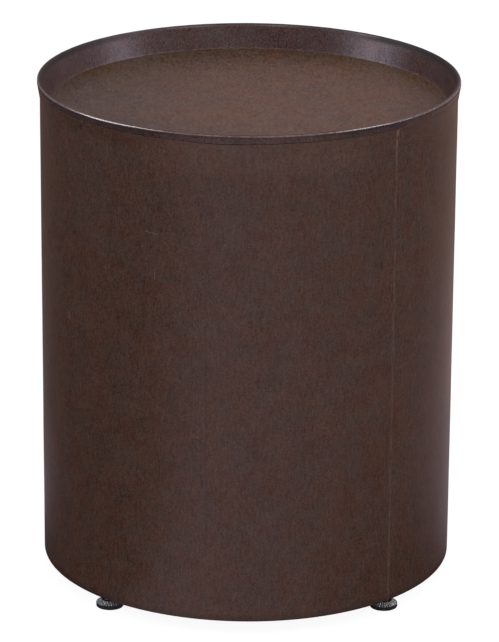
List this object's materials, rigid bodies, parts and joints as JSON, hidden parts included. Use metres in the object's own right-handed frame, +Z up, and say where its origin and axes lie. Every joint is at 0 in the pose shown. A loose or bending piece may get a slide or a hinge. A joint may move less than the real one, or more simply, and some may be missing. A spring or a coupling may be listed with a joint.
{
  "type": "drum side table",
  "caption": "Round drum side table covered in dark brown leather, with a shallow tray top inside a thin flared lip, standing on screw-in levelling feet.",
  "frame": {"origin": "on the floor under the middle of the drum", "axes": "+Z up; -Y is the front; +X is to the right of a person who faces the front. The leather's seam is 42.5 degrees to the right of the front"},
  "size_m": [0.4572, 0.4572, 0.555],
  "materials": {
    "side_leather": "dark brown, semi-gloss, mottled",
    "rim_leather": "dark brown, polished on the lip",
    "tray_leather": "brown, satin, lightly rubbed",
    "plywood": "raw birch plywood",
    "hoop_wood": "raw beech",
    "post_wood": "raw pine",
    "dust_cloth": "black non-woven cloth",
    "zinc_steel": "bright zinc plate",
    "black_nylon": "satin moulded nylon"
  },
  "bodies": {
    "drum": {"drum_shell": "plywood", "tray_panel": "plywood", "rim_hoop": "hoop_wood", "middle_ring": "plywood", "base_ring": "plywood", "post_right": "post_wood", "post_back": "post_wood", "post_left": "post_wood", "post_front": "post_wood", "side_wrap": "side_leather", "rim_wrap": "rim_leather", "tray_leather": "tray_leather", "dust_cover": "dust_cloth", "dust_cover_staples": "zinc_steel", "tray_screws": "zinc_steel", "base_screws": "zinc_steel", "threaded_inserts": "zinc_steel"},
    "pad_front_left": {"leveller_pad_front_left": "black_nylon"},
    "stem_front_left": {"leveller_stem_front_left": "zinc_steel"},
    "pad_front_right": {"leveller_pad_front_right": "black_nylon"},
    "stem_front_right": {"leveller_stem_front_right": "zinc_steel"},
    "pad_back_right": {"leveller_pad_back_right": "black_nylon"},
    "stem_back_right": {"leveller_stem_back_right": "zinc_steel"},
    "pad_back_left": {"leveller_pad_back_left": "black_nylon"},
    "stem_back_left": {"leveller_stem_back_left": "zinc_steel"}
  },
  "joints": [
    {"name": "foot_front_left_height", "type": "slide", "parent": "drum", "child": "pad_front_left", "axis": [0, 0, -1], "range_m": [-0.0026, 0.0101]},
    {"name": "foot_front_left_screw", "type": "hinge", "parent": "pad_front_left", "child": "stem_front_left", "pos_m": [-0.14885, -0.14885, 0], "axis": [0, 0, -1], "range_deg": [-720, 2880]},
    {"name": "foot_front_right_height", "type": "slide", "parent": "drum", "child": "pad_front_right", "axis": [0, 0, -1], "range_m": [-0.0026, 0.0101]},
    {"name": "foot_front_right_screw", "type": "hinge", "parent": "pad_front_right", "child": "stem_front_right", "pos_m": [0.14885, -0.14885, 0], "axis": [0, 0, -1], "range_deg": [-720, 2880]},
    {"name": "foot_back_right_height", "type": "slide", "parent": "drum", "child": "pad_back_right", "axis": [0, 0, -1], "range_m": [-0.0026, 0.0101]},
    {"name": "foot_back_right_screw", "type": "hinge", "parent": "pad_back_right", "child": "stem_back_right", "pos_m": [0.14885, 0.14885, 0], "axis": [0, 0, -1], "range_deg": [-720, 2880]},
    {"name": "foot_back_left_height", "type": "slide", "parent": "drum", "child": "pad_back_left", "axis": [0, 0, -1], "range_m": [-0.0026, 0.0101]},
    {"name": "foot_back_left_screw", "type": "hinge", "parent": "pad_back_left", "child": "stem_back_left", "pos_m": [-0.14885, 0.14885, 0], "axis": [0, 0, -1], "range_deg": [-720, 2880]}
  ],
  "couplings": [
    {"joint": "foot_front_left_height", "follows": "foot_front_left_screw", "m_per_rad": 0.00019894},
    {"joint": "foot_front_right_height", "follows": "foot_front_right_screw", "m_per_rad": 0.00019894},
    {"joint": "foot_back_right_height", "follows": "foot_back_right_screw", "m_per_rad": 0.00019894},
    {"joint": "foot_back_left_height", "follows": "foot_back_left_screw", "m_per_rad": 0.00019894}
  ]
}
